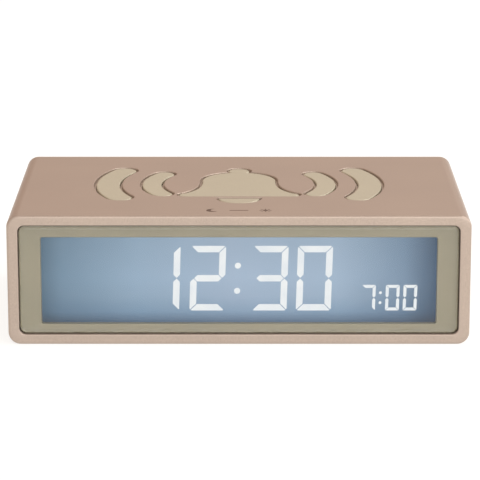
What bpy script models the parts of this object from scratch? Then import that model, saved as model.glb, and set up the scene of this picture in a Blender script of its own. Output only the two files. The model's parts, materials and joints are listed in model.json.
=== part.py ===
"""Travel alarm clock, modelled at its real size in metres.

A flat rectangular sleeve holds a liquid crystal clock at its front and a control panel at its back.
Turning the clock over sets the alarm: a tilt switch inside reads which broad face is up, so one
broad face carries a ringing bell and the other a crescent moon.

X runs across the display, Y from the display to the back, and Z up.
The origin is the centre of the lower face.
"""

import math

import bmesh
import bpy
from mathutils import Vector

MM = 0.001


def mm(*values):
    """Millimetres to metres."""
    return tuple(value * MM for value in values)


def inset(span, amount):
    """A low and high limit, each moved inwards."""
    return (span[0] + amount, span[1] - amount)


def around(centre, size):
    """The low and high limit of a size about its centre."""
    return (centre - size / 2, centre + size / 2)


def stations(start, layers):
    """Front and back of each layer, from its gap and thickness."""
    result = {}
    for name, gap, thickness in layers:
        front = start + gap * MM
        start = front + thickness * MM
        result[name] = (front, start)
    return result


# Sleeve
WIDTH = 87.0 * MM
DEPTH = 52.0 * MM
HEIGHT = 25.0 * MM
CORNER_RADIUS = 2.3 * MM
SIDE_WALL = 2.1 * MM
FACE_WALL = 1.95 * MM
OPENING_RADIUS = 1.25 * MM

FRONT = -DEPTH / 2
BACK = DEPTH / 2
MIDDLE = HEIGHT / 2
OPENING_X = inset((-WIDTH / 2, WIDTH / 2), SIDE_WALL)
OPENING_Z = inset((0.0, HEIGHT), FACE_WALL)

# Clearances
GAP = 0.3 * MM
FINE_GAP = 0.15 * MM
SMALL_GAP = 0.2 * MM

# Front pieces from the front edge backwards: name, gap in front, thickness, both in millimetres
STACK = stations(FRONT, (
    ("lens", 0.3, 1.4),
    ("bezel", 0.2, 1.2),
    ("polarizer", 0.15, 0.2),
    ("glass", 0.15, 1.7),
    ("diffuser", 0.15, 0.2),
    ("light_guide", 0.15, 1.8),
    ("board", 0.6, 1.0),
))

# Display
INSERT_RADIUS = 1.1 * MM
APERTURE = mm(74.5, 16.8)
APERTURE_RADIUS = 0.4 * MM
APERTURE_DROP = 0.45 * MM
HOLDER_INNER_X = mm(-38.9, 38.9)
HOLDER_INNER_Z = mm(2.95, 22.05)
LED_X = 13.0 * MM

# Symbols on the broad faces
SYMBOL_MOAT = 0.45 * MM
SYMBOL_RECESS = 0.1 * MM
PLATE_THICKNESS = 0.8 * MM

# Chassis and its rooms
CHASSIS_X = inset(OPENING_X, 0.5 * MM)
CHASSIS_Z = inset(OPENING_Z, 1.5 * MM)
CHASSIS_Y = (STACK["board"][1] + 0.4 * MM, 22.5 * MM)
COMPONENT_BAY_BACK = -11.4 * MM
BATTERY_BAY_X = mm(-39.5, 10.0)
CONTROL_BAY_X = mm(11.4, 39.6)
CONTROL_BAY_Z = mm(6.4, 18.6)
CONTROL_BAY_FRONT = -9.0 * MM

# Two AAA cells, side by side, lying along X
CELL_RADIUS = 5.2 * MM
CELL_BODY = 43.3 * MM
CELL_NUB = 0.9 * MM
CELL_NUB_RADIUS = 1.9 * MM
FRONT_CELL_Y = 6.4 * MM
REAR_CELL_Y = 17.3 * MM
CONTACT_THICKNESS = 0.4 * MM
CONTACT_X = BATTERY_BAY_X[1] - GAP - CONTACT_THICKNESS
BRIDGE_X = BATTERY_BAY_X[0] + GAP + CONTACT_THICKNESS
SPRING_LENGTH = 3.0 * MM

# Rear panel, its door, screws and controls
PANEL_Y = mm(22.8, 25.0)
DOOR_RECESS_X = mm(-39.4, 9.0)
DOOR_RECESS_Z = mm(6.3, 18.7)
DOOR_FLOOR = 23.45 * MM
DOOR_Y = mm(23.75, 24.85)
HINGE_Z = 7.1 * MM
HINGE_Y = sum(DOOR_Y) / 2
SCREW_X = 38.4 * MM
SCREW_Z = mm(4.6, 20.4)
KEY_BOARD_Y = mm(16.9, 17.9)
BUTTONS = {
    "time_set": mm(19.5, 15.8),
    "alarm_set": mm(29.5, 15.8),
    "plus": mm(19.5, 9.2),
    "minus": mm(29.5, 9.2),
}
PILL = mm(8.0, 4.2)
BUTTON_BACK = 25.7 * MM
KNOB_X = 37.3 * MM
KNOB_Z = 11.25 * MM
KNOB_TRAVEL = 2.5 * MM
BUZZER_AT = mm(24.5, 12.5)
POSTS = (BUZZER_AT, mm(34.4, 12.5))

CORNER_STEPS = 5
ROUND_STEPS = 20
WELD = 0.000002

# sRGB colour, roughness, metallic
FINISHES = {
    "pink_gold": ((190, 165, 149), 0.36, 0.55),
    "champagne": ((196, 181, 158), 0.40, 0.45),
    "clear": ((224, 230, 234), 0.05, 0.0),
    "bezel": ((172, 163, 144), 0.40, 0.40),
    "film": ((96, 106, 118), 0.20, 0.0),
    "display": ((160, 178, 196), 0.15, 0.0),
    "white": ((232, 232, 228), 0.55, 0.0),
    "frame": ((214, 214, 208), 0.50, 0.0),
    "black": ((32, 32, 34), 0.50, 0.0),
    "board": ((28, 92, 58), 0.45, 0.0),
    "silver": ((190, 192, 196), 0.28, 1.0),
    "copper": ((186, 120, 82), 0.35, 1.0),
    "brass": ((196, 164, 96), 0.32, 1.0),
    "cell": ((58, 70, 96), 0.35, 0.2),
    "red": ((168, 34, 30), 0.50, 0.0),
    "ribbon": ((188, 190, 194), 0.50, 0.0),
}


# Shapes

def arc(centre, radius, start, end, steps):
    """Points along an arc, with both ends; angles in degrees."""
    points = []
    for step in range(steps + 1):
        angle = math.radians(start + (end - start) * step / steps)
        points.append((centre[0] + radius * math.cos(angle), centre[1] + radius * math.sin(angle)))
    return points


def circle(centre, radius, steps=ROUND_STEPS):
    return arc(centre, radius, 0, 360, steps)[:-1]


def rounded_rectangle(u, v, radius, steps=CORNER_STEPS):
    """Outline between the limits u and v, with round corners."""
    inner_u = inset(u, radius)
    inner_v = inset(v, radius)
    points = []
    points += arc((inner_u[1], inner_v[1]), radius, 0, 90, steps)
    points += arc((inner_u[0], inner_v[1]), radius, 90, 180, steps)
    points += arc((inner_u[0], inner_v[0]), radius, 180, 270, steps)
    points += arc((inner_u[1], inner_v[0]), radius, 270, 360, steps)
    return points


def pill(centre, size, steps=8):
    """A rectangle with full-round ends."""
    radius = size[1] / 2
    reach = size[0] / 2 - radius
    right = arc((centre[0] + reach, centre[1]), radius, -90, 90, steps)
    left = arc((centre[0] - reach, centre[1]), radius, 90, 270, steps)
    return right + left


def rectangle(u, v):
    return [(u[0], v[0]), (u[1], v[0]), (u[1], v[1]), (u[0], v[1])]


def new_object(name, shape):
    """An object with the given bmesh as its mesh."""
    mesh = bpy.data.meshes.new(name)
    shape.to_mesh(mesh)
    shape.free()
    return bpy.data.objects.new(name, mesh)


def box(name, x, y, z):
    """A block between a low and a high limit on each axis."""
    shape = bmesh.new()
    bmesh.ops.create_cube(shape, size=1.0)
    bmesh.ops.scale(shape, vec=(x[1] - x[0], y[1] - y[0], z[1] - z[0]), verts=shape.verts)
    result = new_object(name, shape)
    result.location = (sum(x) / 2, sum(y) / 2, sum(z) / 2)
    return result


def rod(name, start, end, radius, segments=ROUND_STEPS):
    """A round bar from one point to another."""
    along = Vector(end) - Vector(start)
    shape = bmesh.new()
    bmesh.ops.create_cone(
        shape, cap_ends=True, segments=segments, radius1=radius, radius2=radius, depth=along.length
    )
    result = new_object(name, shape)
    result.location = (Vector(start) + Vector(end)) / 2
    result.rotation_euler = along.to_track_quat("Z", "Y").to_euler()
    return result


def curve_to_mesh(guide, name):
    """Swap a curve object for a closed mesh object in the same place."""
    bpy.context.scene.collection.objects.link(guide)
    bpy.context.view_layer.update()
    evaluated = guide.evaluated_get(bpy.context.evaluated_depsgraph_get())
    shape = bmesh.new()
    shape.from_mesh(bpy.data.meshes.new_from_object(evaluated))
    bmesh.ops.remove_doubles(shape, verts=shape.verts, dist=WELD)
    bmesh.ops.recalc_face_normals(shape, faces=shape.faces)
    result = new_object(name, shape)
    result.matrix_world = guide.matrix_world
    bpy.data.objects.remove(guide)
    return result


def add_splines(curve, outlines, closed):
    """Straight-segment splines through the given points."""
    for outline in outlines:
        spline = curve.splines.new("POLY")
        spline.points.add(len(outline) - 1)
        for point, place in zip(spline.points, outline):
            point.co = Vector(place).to_3d().to_4d()
        spline.use_cyclic_u = closed


def slab(name, outlines, span, upright=False, at=(0.0, 0.0)):
    """A plate with the given outlines, where an outline inside another is a hole.

    A level plate lies in XY and fills the span in Z. An upright one stands in XZ and fills the
    span in Y. The outlines are drawn about the point given by at.
    """
    curve = bpy.data.curves.new(name, "CURVE")
    curve.dimensions = "2D"
    curve.fill_mode = "BOTH"
    curve.extrude = (span[1] - span[0]) / 2
    add_splines(curve, outlines, closed=True)
    guide = bpy.data.objects.new(name + "_outline", curve)
    middle = sum(span) / 2
    if upright:
        guide.location = (at[0], middle, at[1])
        guide.rotation_euler = (math.pi / 2, 0, 0)
    else:
        guide.location = (at[0], at[1], middle)
    return curve_to_mesh(guide, name)


def wire(name, points, radius):
    """A round wire through the given points, with closed ends."""
    curve = bpy.data.curves.new(name, "CURVE")
    curve.dimensions = "3D"
    curve.bevel_depth = radius
    curve.bevel_resolution = 2
    curve.use_fill_caps = True
    add_splines(curve, [points], closed=False)
    return curve_to_mesh(bpy.data.objects.new(name + "_route", curve), name)


def turned(name, profile, at, rotation=(0, 0, 0), steps=ROUND_STEPS):
    """A turned piece: profile points (radius, height), from the top down the outer side."""
    shape = bmesh.new()
    verts = [shape.verts.new((radius, 0, height)) for radius, height in profile]
    for first, second in zip(verts, verts[1:]):
        shape.edges.new((first, second))
    result = new_object(name, shape)
    result.location = at
    result.rotation_euler = rotation
    screw = result.modifiers.new("Turn", "SCREW")
    screw.angle = math.tau
    screw.steps = steps
    screw.render_steps = steps
    screw.use_merge_vertices = True
    screw.merge_threshold = WELD
    return result


# Assembly

def linear(value):
    """One sRGB channel, 0 to 255, as a linear value."""
    value /= 255
    if value <= 0.04045:
        return value / 12.92
    return ((value + 0.055) / 1.055) ** 2.4


def clear_scene():
    for item in list(bpy.data.objects):
        bpy.data.objects.remove(item)
    for collection in list(bpy.data.collections):
        bpy.data.collections.remove(collection)
    for name in ("travel_alarm_clock", "cutters"):
        bpy.context.scene.collection.children.link(bpy.data.collections.new(name))


def part(piece, finish):
    """Put a finished piece in the clock, with a material of its own."""
    colour, roughness, metallic = FINISHES[finish]
    material = bpy.data.materials.new(piece.name)
    material.use_nodes = True
    shader = material.node_tree.nodes["Principled BSDF"]
    shader.inputs["Base Color"].default_value = (*(linear(value) for value in colour), 1.0)
    shader.inputs["Roughness"].default_value = roughness
    shader.inputs["Metallic"].default_value = metallic
    piece.data.materials.append(material)
    if piece.data.polygons:
        piece.data.shade_smooth()
        piece.data.set_sharp_from_angle(angle=math.radians(35))
    bpy.data.collections["travel_alarm_clock"].objects.link(piece)
    return piece


def use_tool(piece, tool, operation):
    """Cut a tool's shape from a piece, or join it on."""
    tool.hide_render = True
    tool.display_type = "WIRE"
    bpy.data.collections["cutters"].objects.link(tool)
    boolean = piece.modifiers.new(tool.name, "BOOLEAN")
    boolean.operation = operation
    boolean.solver = "EXACT"
    boolean.object = tool


def cut(piece, tool):
    use_tool(piece, tool, "DIFFERENCE")


def join(piece, tool):
    use_tool(piece, tool, "UNION")


def hang_on(joint, pieces, at):
    """Parent the pieces of one moving body to an empty on its joint's axis."""
    empty = bpy.data.objects.new(joint, None)
    empty.location = at
    bpy.data.collections["cutters"].objects.link(empty)
    for piece in pieces:
        piece.parent = empty
        piece.location = Vector(piece.location) - Vector(at)


def on_side(side, span):
    """Heights for the top face, turned over for the bottom one."""
    if side == "top":
        return span
    return (HEIGHT - span[1], HEIGHT - span[0])


# Symbols

def crossing(distance, first, second):
    """Angle at the first circle between the line of centres and the point where two circles meet."""
    along = (distance ** 2 + first ** 2 - second ** 2) / (2 * distance)
    return math.degrees(math.acos(along / first))


def bell(grow):
    """Bell body and crown, grown by the given margin."""
    shoulder, crown = mm(4.0, 12.4)
    waist = 7.2 * MM
    flare_width, flare_height, lip_top = mm(4.0, 11.8, -7.0)
    lip_centre = mm(10.4, -8.4)
    body_radius = waist + grow
    crown_radius = 2.1 * MM + grow
    flare_steps = 8
    right = arc(lip_centre, 1.2 * MM + grow, -90, 60, 6)
    for step in range(flare_steps):
        v = lip_top + (shoulder - lip_top) * step / flare_steps
        fall = (shoulder - v) / flare_height
        slope = 3 * flare_width * fall ** 2 / flare_height
        right.append((waist + flare_width * fall ** 3 + grow * math.hypot(1, slope), v))
    rise = crown - shoulder
    right += arc((0, shoulder), body_radius, 0, 90 - crossing(rise, body_radius, crown_radius), 9)
    crown_start = crossing(rise, crown_radius, body_radius) - 90
    right += arc((0, crown), crown_radius, crown_start, 90, 8)[1:]
    left = [(-u, v) for u, v in reversed(right[:-1])]
    return right + left


def clapper(grow):
    """Lower half of a disc under the bell."""
    radius = 3.9 * MM + grow
    tilt = math.degrees(math.asin(grow / radius))
    return arc(mm(0, -11.4), radius, 180 - tilt, 360 + tilt, 16)


def wave(side, radius, half_width, half_angle):
    """A sound wave: part of a ring about the bell, with round ends."""
    centre_v = 1.0 * MM
    centre = (0, centre_v)
    ends = [arc(centre, radius, angle, angle, 1)[0] for angle in (half_angle, -half_angle)]
    outline = arc(centre, radius + half_width, -half_angle, half_angle, 14)
    outline += arc(ends[0], half_width, half_angle, half_angle + 180, 8)[1:-1]
    outline += arc(centre, radius - half_width, half_angle, -half_angle, 14)
    outline += arc(ends[1], half_width, 180 - half_angle, 360 - half_angle, 8)[1:-1]
    return [(side * u, v) for u, v in outline]


def ringing_bell(grow):
    """Face that is up while the alarm is set."""
    outlines = [bell(grow), clapper(grow)]
    for side in (-1, 1):
        outlines.append(wave(side, 17.1 * MM, 1.9 * MM + grow, 30))
        outlines.append(wave(side, 25.7 * MM, 2.3 * MM + grow, 27))
    return outlines


def crescent_moon(grow):
    """Face that is up while the alarm is off, mirrored to read right once the clock is turned over."""
    disc_centre = mm(-1.5, 0.0)
    bite_centre = mm(5.0, 3.2)
    disc = 13.5 * MM + grow
    bite = 11.0 * MM - grow
    shift = Vector(bite_centre) - Vector(disc_centre)
    heading = math.degrees(math.atan2(shift.y, shift.x))
    tip = crossing(shift.length, disc, bite)
    bite_tip = crossing(shift.length, bite, disc)
    moon = arc(disc_centre, disc, heading + tip, heading + 360 - tip, 36)
    moon += arc(bite_centre, bite, heading + 180 + bite_tip, heading + 180 - bite_tip, 24)[1:-1]
    stars = [circle(mm(7.6, 4.2), 2.4 * MM + grow), circle(mm(14.6, -4.6), 1.7 * MM + grow)]
    return [[(-u, v) for u, v in outline] for outline in (moon, *stars)]


SYMBOLS = {"top": ringing_bell, "bottom": crescent_moon}


# Sleeve and touch plates

def outer_sleeve():
    outer = rounded_rectangle((-WIDTH / 2, WIDTH / 2), (0, HEIGHT), CORNER_RADIUS)
    opening = rounded_rectangle(OPENING_X, OPENING_Z, OPENING_RADIUS)
    sleeve = part(slab("outer_sleeve", [outer, opening], (FRONT, BACK), upright=True), "pink_gold")
    through = 0.5 * MM
    for side, symbol in SYMBOLS.items():
        span = on_side(side, (OPENING_Z[1] - through, HEIGHT + through))
        cut(sleeve, slab(side + "_symbol_window", symbol(SYMBOL_MOAT), span))


def symbol_plates():
    """A carrier under each window, with the symbol standing up through it."""
    for side, symbol in SYMBOLS.items():
        top = OPENING_Z[1] - FINE_GAP
        carrier_z = on_side(side, (top - PLATE_THICKNESS, top))
        carrier = part(box(side + "_symbol_plate", mm(-32.5, 32.5), mm(-16.2, 16.0), carrier_z), "champagne")
        island_z = on_side(side, (top - PLATE_THICKNESS / 2, HEIGHT - SYMBOL_RECESS))
        join(carrier, slab(side + "_symbol", symbol(0.0), island_z))


def touch_electrodes():
    """A copper film under each plate, wired to the main board."""
    film = 0.15 * MM
    top = OPENING_Z[1] - FINE_GAP - PLATE_THICKNESS - SMALL_GAP
    route = (
        mm(30.0, -13.3, 21.45),
        mm(30.0, -13.4, 20.95),
        mm(30.0, -13.9, 20.2),
        mm(30.0, -14.9, 19.3),
        mm(30.0, -15.8, 18.7),
        mm(30.0, -16.45, 18.5),
    )
    for side in SYMBOLS:
        span = on_side(side, (top - film, top))
        part(box(side + "_touch_electrode", mm(-31.5, 31.5), mm(-15.5, 14.5), span), "copper")
        points = [(x, y, on_side(side, (z, z))[0]) for x, y, z in route]
        part(wire(side + "_touch_wire", points, 0.3 * MM), "red")


# Display

def front_lens():
    outline = rounded_rectangle(inset(OPENING_X, 0.25 * MM), inset(OPENING_Z, 0.25 * MM), INSERT_RADIUS)
    part(slab("front_lens", [outline], STACK["lens"], upright=True), "clear")


def front_bezel():
    """A mask behind the lens, open over the display."""
    outline = rounded_rectangle(inset(OPENING_X, GAP), inset(OPENING_Z, GAP), INSERT_RADIUS)
    aperture = rounded_rectangle(
        around(0, APERTURE[0]), around(MIDDLE - APERTURE_DROP, APERTURE[1]), APERTURE_RADIUS
    )
    part(slab("front_bezel", [outline, aperture], STACK["bezel"], upright=True), "bezel")


def display_layers():
    """Polarizer, glass, diffuser and light guide, each a sheet inside the holder."""
    part(box("front_polarizer", mm(-38.6, 38.6), STACK["polarizer"], mm(3.3, 21.7)), "film")
    glass_x = inset(HOLDER_INNER_X, 0.1 * MM)
    glass_z = inset(HOLDER_INNER_Z, FINE_GAP)
    part(box("lcd_glass", glass_x, STACK["glass"], glass_z), "display")
    lit_x = mm(-37.4, 37.4)
    lit_z = mm(4.2, 20.8)
    part(box("diffuser_sheet", lit_x, STACK["diffuser"], lit_z), "white")
    guide = part(box("light_guide", lit_x, STACK["light_guide"], lit_z), "clear")
    back = STACK["light_guide"][1]
    for side, x in (("left", -LED_X), ("right", LED_X)):
        pocket_y = (back - 0.7 * MM, back + GAP)
        cut(guide, box(side + "_led_pocket", around(x, 4.2 * MM), pocket_y, around(MIDDLE, 3.2 * MM)))
        led_y = (back - 0.5 * MM, STACK["board"][0] - SMALL_GAP)
        led = box("backlight_led_" + side, around(x, 3.0 * MM), led_y, around(MIDDLE, 2.0 * MM))
        part(led, "white")


def zebra_strips():
    """Conducting rubber strips between the glass and the main board."""
    y = (STACK["glass"][1] + FINE_GAP, STACK["board"][0] - FINE_GAP)
    for side in SYMBOLS:
        part(box("zebra_strip_" + side, mm(-35.0, 35.0), y, on_side(side, mm(21.05, 21.85))), "black")


def peg_places():
    """Centres of the holder's four pegs, in X and Z."""
    return [(x, z) for x in mm(-39.95, 39.95) for z in mm(7.5, 17.5)]


def display_holder():
    """A frame around the display, with four pegs that pass through the main board."""
    outer = rectangle(inset(OPENING_X, 0.4 * MM), inset(OPENING_Z, 0.4 * MM))
    inner = rectangle(HOLDER_INNER_X, HOLDER_INNER_Z)
    y = (STACK["bezel"][1] + SMALL_GAP, STACK["board"][0] - SMALL_GAP)
    holder = part(slab("display_holder", [outer, inner], y, upright=True), "frame")
    peg_root = y[1] - 1.0 * MM
    peg_end = STACK["board"][1] + SMALL_GAP
    for number, (x, z) in enumerate(peg_places()):
        join(holder, rod(f"holder_peg_{number}", (x, peg_root, z), (x, peg_end, z), 0.55 * MM, 12))


# Main board

def main_board():
    outline = rectangle(inset(OPENING_X, 0.4 * MM), inset(OPENING_Z, 1.35 * MM))
    holes = [circle(place, 0.7 * MM, 12) for place in peg_places()]
    part(slab("main_board", [outline, *holes], STACK["board"], upright=True), "board")


def board_components():
    """Chip, crystal, capacitor and the tilt switch that reads which face is up."""
    front = STACK["board"][1] + GAP
    part(box("controller_chip", mm(-4.0, 4.0), (front, front + 1.4 * MM), mm(8.5, 16.5)), "black")
    crystal_y = front + 1.1 * MM
    crystal = rod("crystal", (6 * MM, crystal_y, 17.5 * MM), (12 * MM, crystal_y, 17.5 * MM), MM, 16)
    part(crystal, "silver")
    capacitor_at = mm(-11.0, 13.0)
    capacitor = rod(
        "capacitor",
        (capacitor_at[0], front, capacitor_at[1]),
        (capacitor_at[0], front + 4.4 * MM, capacitor_at[1]),
        2.5 * MM,
    )
    part(capacitor, "black")


def tilt_switch():
    """A ball in an upright can: it bridges the base contacts until the clock is turned over."""
    x = -22.0 * MM
    radius, bore, ball_radius = mm(1.9, 1.45, 1.2)
    y = STACK["board"][1] + GAP + radius
    base_z, can_bottom, ceiling, can_top = mm(9.0, 10.3, 15.4, 16.0)
    base_top = can_bottom - 0.1 * MM
    part(rod("tilt_switch_base", (x, y, base_z), (x, y, base_top), radius), "black")
    can_profile = (
        (0, can_top),
        (radius, can_top),
        (radius, can_bottom),
        (bore, can_bottom),
        (bore, ceiling),
        (0, ceiling),
    )
    part(turned("tilt_switch_can", can_profile, (x, y, 0)), "silver")
    ball = bmesh.new()
    bmesh.ops.create_uvsphere(ball, u_segments=14, v_segments=8, radius=ball_radius)
    piece = part(new_object("tilt_switch_ball", ball), "silver")
    piece.location = (x, y, can_bottom + ball_radius)


# Chassis and power

def chassis():
    """The inner body, with rooms for the components, the cells and the controls."""
    body = part(box("chassis", CHASSIS_X, CHASSIS_Y, CHASSIS_Z), "frame")
    front, back = CHASSIS_Y
    beyond = 1.0 * MM
    component_bay_z = mm(5.0, 20.0)
    notch_x = mm(28.8, 31.2)
    notch_y = (front - beyond, -12.2 * MM)
    rooms = {
        "component_bay": (mm(-38.5, 38.5), (front - beyond, COMPONENT_BAY_BACK), component_bay_z),
        "battery_bay": (BATTERY_BAY_X, (1.0 * MM, back + beyond), mm(6.9, 18.1)),
        "control_bay": (CONTROL_BAY_X, (CONTROL_BAY_FRONT, back + beyond), CONTROL_BAY_Z),
        "light_pocket": (mm(-37.0, 8.0), mm(-9.0, -0.6), (0.0, HEIGHT)),
        "cable_window": (mm(12.5, 37.5), (COMPONENT_BAY_BACK - beyond, CONTROL_BAY_FRONT + beyond), mm(8.5, 16.5)),
        "positive_tab_slot": (mm(9.5, 12.0), mm(15.0, 17.0), mm(11.5, 13.5)),
        "negative_tab_slot": (mm(9.5, 12.0), mm(5.0, 7.0), mm(9.0, 11.0)),
        "top_wire_notch": (notch_x, notch_y, (component_bay_z[1] - beyond, HEIGHT)),
        "bottom_wire_notch": (notch_x, notch_y, (0.0, component_bay_z[0] + beyond)),
    }
    for name, (x, y, z) in rooms.items():
        cut(body, box(name, x, y, z))
    for x in (-SCREW_X, SCREW_X):
        for z in SCREW_Z:
            pilot = rod(f"pilot_{x:.3f}_{z:.3f}", (x, 16.5 * MM, z), (x, back + beyond, z), 0.75 * MM, 12)
            cut(body, pilot)


def battery(name, y, nub_tip, direction):
    """One cell; direction is +1 with its nub towards +X, and -1 towards -X."""
    body_top = -CELL_NUB
    body_bottom = body_top - CELL_BODY
    edge = 0.4 * MM
    profile = (
        (0, 0),
        (CELL_NUB_RADIUS, 0),
        (CELL_NUB_RADIUS, body_top),
        (CELL_RADIUS - edge, body_top),
        (CELL_RADIUS, body_top - edge),
        (CELL_RADIUS, body_bottom + edge),
        (CELL_RADIUS - edge, body_bottom),
        (0, body_bottom),
    )
    return part(turned(name, profile, (nub_tip, y, MIDDLE), (0, direction * math.pi / 2, 0)), "cell")


def battery_spring(name, y, start, end):
    """A conical coil whose wide end is at start and whose narrow end meets the cell."""
    wire_radius = 0.3 * MM
    wide, narrow = mm(3.6, 2.4)
    turns = 3
    steps = 11 * turns
    direction = math.copysign(1, end - start)
    first = start + direction * wire_radius
    last = end - direction * wire_radius
    points = []
    for step in range(steps + 1):
        part_way = step / steps
        angle = math.tau * turns * part_way
        radius = wide + (narrow - wide) * part_way
        x = first + (last - first) * part_way
        points.append((x, y + radius * math.cos(angle), MIDDLE + radius * math.sin(angle)))
    part(wire(name, points, wire_radius), "silver")


def battery_contacts():
    """The bridge plate joins both cells at one end; two tabbed plates collect at the other."""
    contact_z = mm(8.5, 16.5)
    bridge_x = (BRIDGE_X - CONTACT_THICKNESS, BRIDGE_X)
    part(box("bridge_contact", bridge_x, mm(2.5, 21.5), contact_z), "silver")
    plate_x = (CONTACT_X, CONTACT_X + CONTACT_THICKNESS)
    tab_x = (CONTACT_X, 12.6 * MM)
    tab_size = mm(0.8, 1.2)
    plates = {
        "negative_contact": (mm(2.5, 10.0), mm(6.0, 10.0)),
        "positive_contact": (mm(13.5, 21.0), mm(16.0, 12.5)),
    }
    for name, (plate_y, tab_at) in plates.items():
        plate = part(box(name, plate_x, plate_y, contact_z), "silver")
        join(plate, box(name + "_tab", tab_x, around(tab_at[0], tab_size[0]), around(tab_at[1], tab_size[1])))


def batteries():
    """Two cells in opposite directions, each pressed on its contact by a spring."""
    front_tip = BRIDGE_X + GAP
    rear_tip = CONTACT_X - GAP
    battery("battery_front", FRONT_CELL_Y, front_tip, -1)
    battery("battery_rear", REAR_CELL_Y, rear_tip, 1)
    battery_spring("battery_spring_front", FRONT_CELL_Y, rear_tip, rear_tip - SPRING_LENGTH)
    battery_spring("battery_spring_rear", REAR_CELL_Y, front_tip, front_tip + SPRING_LENGTH)


def battery_wires():
    """Leads from the contact tabs along the control bay to the main board."""
    radius = 0.45 * MM
    positive = (
        mm(12.95, 16.0, 12.5),
        mm(13.25, 14.8, 12.6),
        mm(13.5, 12.0, 12.8),
        mm(13.6, 6.0, 13.1),
        mm(13.6, 0.0, 13.2),
        mm(13.6, -8.0, 13.2),
        mm(14.0, -12.0, 13.0),
        mm(14.8, -14.8, 12.7),
        mm(15.4, -16.4, 12.5),
    )
    negative = (
        mm(12.95, 6.0, 10.0),
        mm(13.25, 4.8, 10.05),
        mm(13.5, 2.0, 10.3),
        mm(13.6, -3.0, 10.5),
        mm(13.6, -8.0, 10.6),
        mm(14.0, -12.0, 10.4),
        mm(14.8, -14.8, 10.1),
        mm(15.4, -16.4, 10.0),
    )
    part(wire("battery_wire_positive", positive, radius), "red")
    part(wire("battery_wire_negative", negative, radius), "black")


# Controls

def key_board():
    part(box("key_board", mm(12.2, 39.2), KEY_BOARD_Y, inset(CONTROL_BAY_Z, 0.4 * MM)), "board")


def ribbon_cable():
    """A flat cable from the main board to the key board, bent in two soft corners."""
    radius = 2.0 * MM
    thickness = 0.25 * MM
    front = STACK["board"][1] + GAP
    back = KEY_BOARD_Y[0] - GAP
    x = 36.0 * MM
    start = 31.0 * MM

    def side(offset):
        """One face of the cable, offset from its middle."""
        points = [(start, front + offset)]
        points += arc((x - radius, front + radius), radius - offset, -90, 0, 6)
        points += arc((x - radius, back - radius), radius - offset, 0, 90, 6)
        points.append((start, back - offset))
        return points

    outline = side(-thickness / 2) + side(thickness / 2)[::-1]
    part(slab("ribbon_cable", [outline], mm(9.5, 15.5)), "ribbon")


def buzzer():
    """A cup on the key board with a sounding disc inside, open to the front."""
    radius, bore, height, floor = mm(5.8, 5.3, 4.4, 0.9)
    profile = ((0, 0), (radius, 0), (radius, -height), (bore, -height), (bore, -floor), (0, -floor))
    back = KEY_BOARD_Y[0] - GAP
    at = (BUZZER_AT[0], back, BUZZER_AT[1])
    part(turned("buzzer_housing", profile, at, (-math.pi / 2, 0, 0)), "black")
    disc_y = (back - 3.2 * MM, back - 2.9 * MM)
    ends = [(BUZZER_AT[0], y, BUZZER_AT[1]) for y in disc_y]
    part(rod("piezo_disc", *ends, 5.0 * MM), "brass")


def push_button(name, place):
    """A cap with a flange and a stem, over a small switch with its own plunger."""
    x, z = place
    base_y = (KEY_BOARD_Y[1] + GAP, 20.1 * MM)
    plunger_y = mm(19.3, 20.8)
    flange_y = mm(21.6, 22.5)
    stem_y = (plunger_y[1] + GAP, flange_y[0] + GAP)
    base = part(box(name + "_switch_base", around(x, 4.4 * MM), base_y, around(z, 4.4 * MM)), "black")
    cut(base, rod(name + "_switch_bore", (x, 18.6 * MM, z), (x, base_y[1] + MM, z), 1.05 * MM, 16))
    plunger = rod(name + "_switch_plunger", (x, plunger_y[0], z), (x, plunger_y[1], z), 0.9 * MM, 16)
    cap_y = (flange_y[0] + GAP, BUTTON_BACK)
    cap = part(slab(name + "_button", [pill((0, 0), PILL)], cap_y, upright=True, at=place), "champagne")
    flange = slab(name + "_flange", [pill((0, 0), mm(9.0, 5.0))], flange_y, upright=True, at=place)
    join(cap, flange)
    join(cap, rod(name + "_stem", (x, stem_y[0], z), (x, stem_y[1], z), MM, 16))
    hang_on(name + "_press_axis", (cap, part(plunger, "white")), (x, BUTTON_BACK, z))


def slide_switch():
    """A fixed body with a slot, and the knob that moves between the hour formats."""
    body_y = mm(18.2, 21.4)
    body = part(box("slide_switch_body", around(KNOB_X, 3.4 * MM), body_y, mm(7.5, 17.5)), "black")
    cut(body, box("slide_slot", around(KNOB_X, 1.6 * MM), mm(19.4, 22.0), mm(9.6, 15.4)))
    post_y = mm(19.7, 23.0)
    thumb_y = mm(22.0, 25.5)
    post = box("slide_switch_knob", around(KNOB_X, 1.2 * MM), post_y, around(KNOB_Z, 2.4 * MM))
    knob = part(post, "champagne")
    join(knob, box("slide_thumb", around(KNOB_X, 1.8 * MM), thumb_y, around(KNOB_Z, 3.0 * MM)))


# Back

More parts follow.
